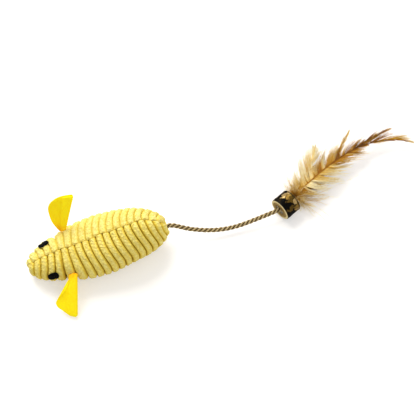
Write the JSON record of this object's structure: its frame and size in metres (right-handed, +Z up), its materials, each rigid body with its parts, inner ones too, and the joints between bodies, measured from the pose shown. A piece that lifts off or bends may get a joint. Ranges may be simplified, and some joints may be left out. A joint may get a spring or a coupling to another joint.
{
  "type": "catnip mouse cat toy",
  "caption": "Stuffed corduroy catnip mouse on its belly, with folded felt ears, a hemp twine tail and, on the tail's end, a slice of branch that holds a spray of feathers.",
  "frame": {"origin": "On the ground under the middle of the mouse, the bead and the feathers; the free twine is not counted.", "axes": "+X runs from the nose to the tail and the feathers, +Y to the mouse's right side, +Z up."},
  "size_m": [0.297, 0.085, 0.0452],
  "materials": {
    "corduroy": "pale yellow extra-wide-wale corduroy, plush pile",
    "stuffing": "white polyester fibre",
    "catnip": "dried leaf, loosely packed",
    "ear_felt": "bright yellow felt, matt",
    "eye_black": "black, worked over the pile",
    "hemp": "twisted natural hemp, slightly waxed",
    "branch": "branch slice with dark glossy bark and pale end grain",
    "glue": "clear set glue",
    "binding": "brown thread bound round the quills",
    "feather_golden": "golden brown feather, satin barbs",
    "feather_dark": "dark brown feather, satin barbs",
    "feather_cream": "cream down, soft"
  },
  "bodies": {
    "mouse": {"side_panel_left": "corduroy", "side_panel_right": "corduroy", "filling_front": "stuffing", "filling_rear": "stuffing", "catnip_charge": "catnip", "eye_left": "eye_black", "eye_right": "eye_black", "tail_anchor_knot": "hemp"},
    "tail": {"tail_twine": "hemp"},
    "charm": {"wood_bead": "branch", "glue_plug": "glue", "quill_binding": "binding", "feather_long": "feather_golden", "feather_long_second": "feather_dark", "feather_curved": "feather_golden", "feather_short": "feather_cream", "feather_downy": "feather_cream", "down_tuft": "feather_cream"},
    "left_ear": {"ear_left": "ear_felt"},
    "right_ear": {"ear_right": "ear_felt"}
  },
  "joints": [
    {"name": "tail_swing", "type": "hinge", "parent": "mouse", "child": "tail", "pos_m": [-0.04827, 0.00031, 0.016], "axis": [0, 0, 1], "range_deg": [-40, 45]},
    {"name": "charm_swing", "type": "hinge", "parent": "tail", "child": "charm", "pos_m": [0.03348, -0.00701, 0.00875], "axis": [0, 0, 1], "range_deg": [-60, 20]},
    {"name": "left_ear_flap", "type": "hinge", "parent": "mouse", "child": "left_ear", "pos_m": [-0.11972, -0.01691, 0.0172], "axis": [-0.9326, 0.3608, -0.0112], "range_deg": [-20, 70], "stiffness_Nm_per_rad": 0.004},
    {"name": "right_ear_flap", "type": "hinge", "parent": "mouse", "child": "right_ear", "pos_m": [-0.11973, 0.01524, 0.01998], "axis": [0.8453, -0.1247, 0.5195], "range_deg": [-40, 40], "stiffness_Nm_per_rad": 0.004}
  ]
}
